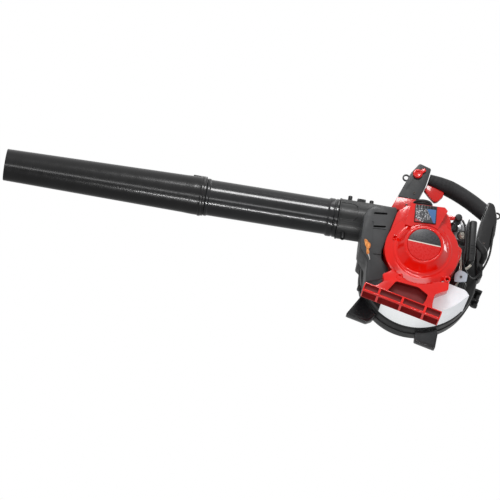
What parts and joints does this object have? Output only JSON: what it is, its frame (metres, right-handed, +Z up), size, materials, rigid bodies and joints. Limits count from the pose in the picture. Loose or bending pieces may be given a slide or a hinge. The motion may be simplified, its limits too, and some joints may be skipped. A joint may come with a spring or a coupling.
{
  "type": "hand-held leaf blower",
  "caption": "Hand-held petrol leaf blower with a long tapered tube, scroll fan case, pull-start engine, tank and padded top handle.",
  "frame": {"origin": "on the ground, at the middle of the red stand bar's sole, straight under the crankshaft axis", "axes": "+Z up, -X towards the nozzle tip, +Y along the crankshaft towards the air intake side"},
  "size_m": [1.0415, 0.254, 0.3677],
  "materials": {
    "red_plastic": "glossy moulded",
    "black_plastic": "satin moulded",
    "charcoal_plastic": "satin moulded",
    "rubber": "soft matt",
    "cast_aluminium": "as cast",
    "steel": "machined",
    "dark_steel": "heat-blackened",
    "tank_plastic": "translucent milky",
    "heat_pad": "fibrous heat pad",
    "foam": "open foam",
    "rope": "braided cord",
    "clear_plastic": "clear soft moulded",
    "badge": "printed label"
  },
  "bodies": {
    "machine": {"engine_cowl": "red_plastic", "starter_housing": "red_plastic", "stand": "red_plastic", "handle_base": "red_plastic", "fan_case_inner": "black_plastic", "fan_case_outer": "black_plastic", "front_foot": "black_plastic", "rear_foot": "black_plastic", "cowl_panel": "black_plastic", "rope_guide": "black_plastic", "handle_post": "black_plastic", "rear_bracket": "black_plastic", "filter_base": "black_plastic", "filter_cover": "black_plastic", "insulator": "black_plastic", "ignition_coil": "black_plastic", "muffler_cover": "charcoal_plastic", "grip": "rubber", "plug_boot": "rubber", "ignition_lead": "rubber", "throttle_cable": "rubber", "crankcase": "cast_aluminium", "cylinder": "cast_aluminium", "carburettor": "cast_aluminium", "bearing_front": "steel", "bearing_rear": "steel", "recoil_spring": "steel", "spark_plug": "steel", "guard_pin": "steel", "muffler": "dark_steel", "fuel_tank": "tank_plastic", "heat_shield": "heat_pad", "filter_element": "foam", "fuel_line": "clear_plastic", "starter_badge": "badge"},
    "crank": {"crankshaft_front": "steel", "crankshaft_rear": "steel", "flywheel": "cast_aluminium", "starter_cup": "steel", "impeller": "charcoal_plastic", "impeller_nut": "steel"},
    "piston_group": {"piston": "cast_aluminium", "wrist_pin": "steel", "conrod": "steel", "crank_pin": "steel"},
    "reel": {"starter_reel": "black_plastic"},
    "pawl": {"starter_pawl": "steel"},
    "pull_handle": {"starter_handle": "black_plastic", "starter_rope": "rope"},
    "tube": {"blower_tube": "charcoal_plastic"},
    "nozzle_body": {"nozzle": "black_plastic"},
    "cap": {"fuel_cap": "black_plastic"},
    "primer": {"primer_bulb": "clear_plastic"},
    "carb_lever": {"throttle_lever": "steel"},
    "choke": {"choke_lever": "red_plastic"},
    "knob": {"filter_knob": "black_plastic"},
    "trigger": {"throttle_trigger": "red_plastic"},
    "stop": {"stop_switch": "red_plastic"},
    "guard": {"intake_guard": "black_plastic"}
  },
  "joints": [
    {"name": "crank_spin", "type": "hinge", "parent": "machine", "child": "crank", "pos_m": [0, 0.1, 0.134], "axis": [0, 1, 0], "continuous": true},
    {"name": "piston_stroke", "type": "slide", "parent": "machine", "child": "piston_group", "axis": [-0.2672, 0, 0.9636], "range_m": [-0.028, 0]},
    {"name": "starter_pull", "type": "slide", "parent": "machine", "child": "pull_handle", "axis": [0.1736, 0, 0.9848], "range_m": [0, 0.6]},
    {"name": "reel_spin", "type": "hinge", "parent": "machine", "child": "reel", "pos_m": [0, 0.012, 0.134], "axis": [0, -1, 0], "range_deg": [0, 1240]},
    {"name": "pawl_swing", "type": "hinge", "parent": "reel", "child": "pawl", "pos_m": [0.014, 0.02, 0.134], "axis": [0, 1, 0], "range_deg": [0, 16]},
    {"name": "tube_twist", "type": "hinge", "parent": "machine", "child": "tube", "pos_m": [-0.19203, 0.167, 0.20004], "axis": [-0.9748, 0, -0.2233], "range_deg": [0, 25]},
    {"name": "nozzle_twist", "type": "hinge", "parent": "tube", "child": "nozzle_body", "pos_m": [-0.46769, 0.167, 0.1369], "axis": [-0.9748, 0, -0.2233], "range_deg": [0, 25]},
    {"name": "cap_turn", "type": "hinge", "parent": "machine", "child": "cap", "pos_m": [0.094, 0.066, 0.101], "axis": [0, 0, 1], "range_deg": [0, 360]},
    {"name": "primer_press", "type": "slide", "parent": "machine", "child": "primer", "axis": [0, 1, 0], "range_m": [0, 0.005]},
    {"name": "trigger_squeeze", "type": "hinge", "parent": "machine", "child": "trigger", "pos_m": [-0.038, 0.145, 0.331], "axis": [0, -1, 0], "range_deg": [0, 18]},
    {"name": "throttle_open", "type": "hinge", "parent": "machine", "child": "carb_lever", "pos_m": [0.05432, 0.0466, 0.23001], "axis": [0, -1, 0], "range_deg": [0, 56]},
    {"name": "choke_turn", "type": "hinge", "parent": "machine", "child": "choke", "pos_m": [0.04774, 0.0516, 0.24998], "axis": [0, 1, 0], "range_deg": [0, 70]},
    {"name": "filter_knob_turn", "type": "hinge", "parent": "machine", "child": "knob", "pos_m": [0.09459, 0.064, 0.2225], "axis": [0.9636, 0, 0.2672], "range_deg": [0, 360]},
    {"name": "stop_turn", "type": "hinge", "parent": "machine", "child": "stop", "pos_m": [-0.068, 0.1256, 0.343], "axis": [0, 1, 0], "range_deg": [0, 40]},
    {"name": "guard_swing", "type": "hinge", "parent": "machine", "child": "guard", "pos_m": [0.142, 0.206, 0.161], "axis": [0, 0, -1], "range_deg": [0, 100]}
  ],
  "couplings": [
    {"joint": "reel_spin", "follows": "starter_pull", "rad_per_m": 35.461},
    {"joint": "throttle_open", "follows": "trigger_squeeze", "ratio": 3}
  ]
}
